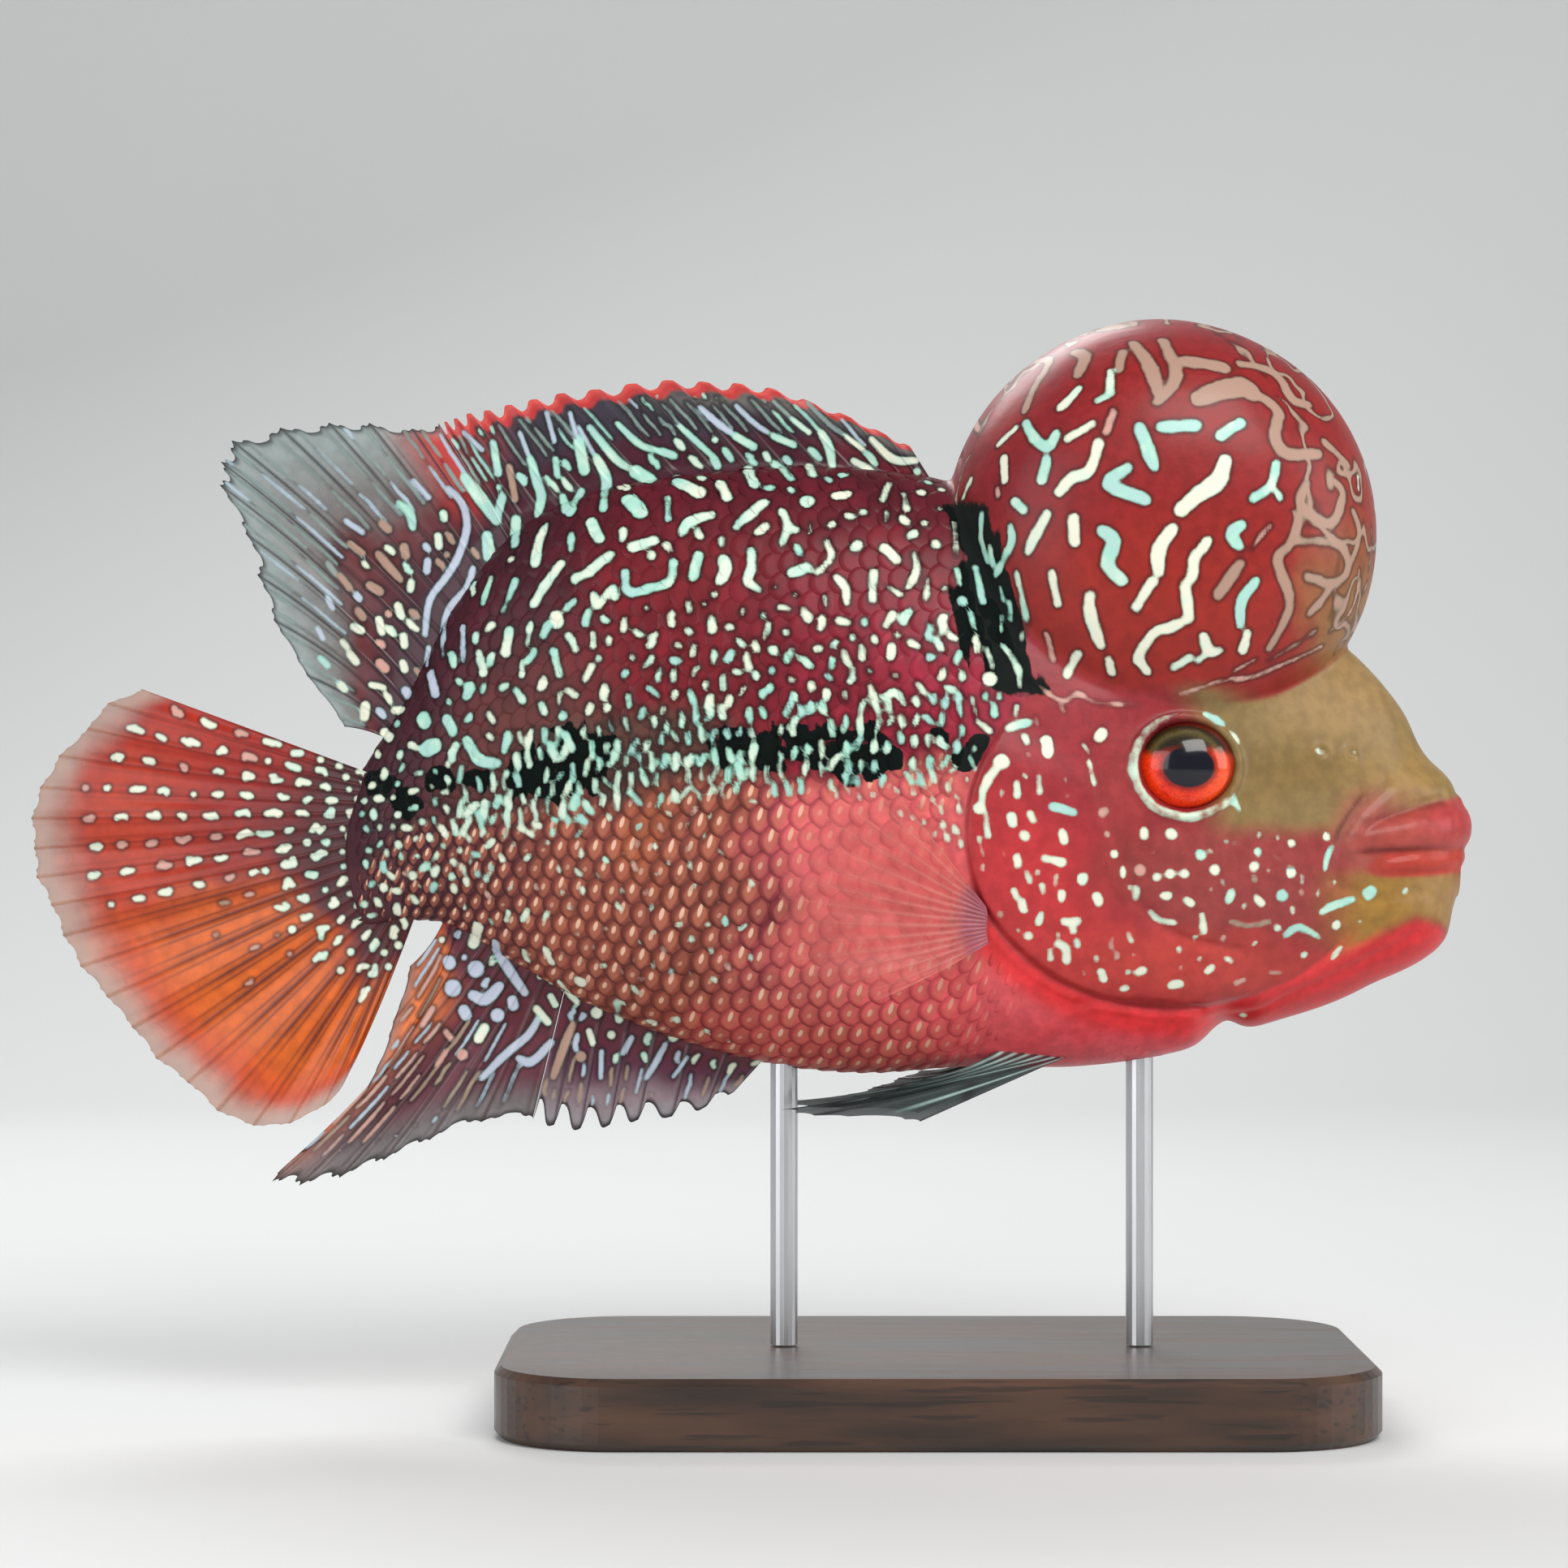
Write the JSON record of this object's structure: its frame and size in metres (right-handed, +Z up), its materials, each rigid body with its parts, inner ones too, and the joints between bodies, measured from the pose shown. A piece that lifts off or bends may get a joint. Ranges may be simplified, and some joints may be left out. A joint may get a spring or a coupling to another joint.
{
  "type": "flowerhorn cichlid model",
  "caption": "Life-size flowerhorn cichlid in a swimming pose, with a tall nuchal hump, spread fins and thick lips, on a flat base with rods.",
  "frame": {"origin": "centre of the underside of the stand's base", "axes": "+Z up, +X towards the fish's mouth, +Y towards the fish's left side"},
  "size_m": [0.2532, 0.092, 0.1907],
  "materials": {
    "skin": "wet-looking scaly skin, crimson and maroon with a rose breast, brown forehead, black flank flowers and mint worm marks",
    "lips": "smooth moist salmon-red lips",
    "fins": "thin fins with fine rays, maroon near the body, orange at the tail, smoky and see-through at the edges",
    "eyes": "red iris, black pupil and a clear domed front",
    "stand_wood": "dark stained wood, satin",
    "stand_metal": "brushed round rod"
  },
  "bodies": {
    "root": {"head": "skin", "lower_jaw": "skin", "nuchal_hump": "skin", "trunk": "skin", "tail_stalk": "skin", "gill_cover_left": "skin", "gill_cover_right": "skin", "upper_lip": "lips", "lower_lip": "lips", "dorsal_fin_spiny": "fins", "dorsal_fin_soft": "fins", "anal_fin_spiny": "fins", "anal_fin_soft": "fins", "caudal_fin": "fins", "pectoral_fin_left": "fins", "pectoral_fin_right": "fins", "pelvic_fin_left": "fins", "pelvic_fin_right": "fins", "eye_left": "eyes", "eye_right": "eyes", "stand_base": "stand_wood", "stand_rod_front": "stand_metal", "stand_rod_rear": "stand_metal"}
  },
  "joints": []
}
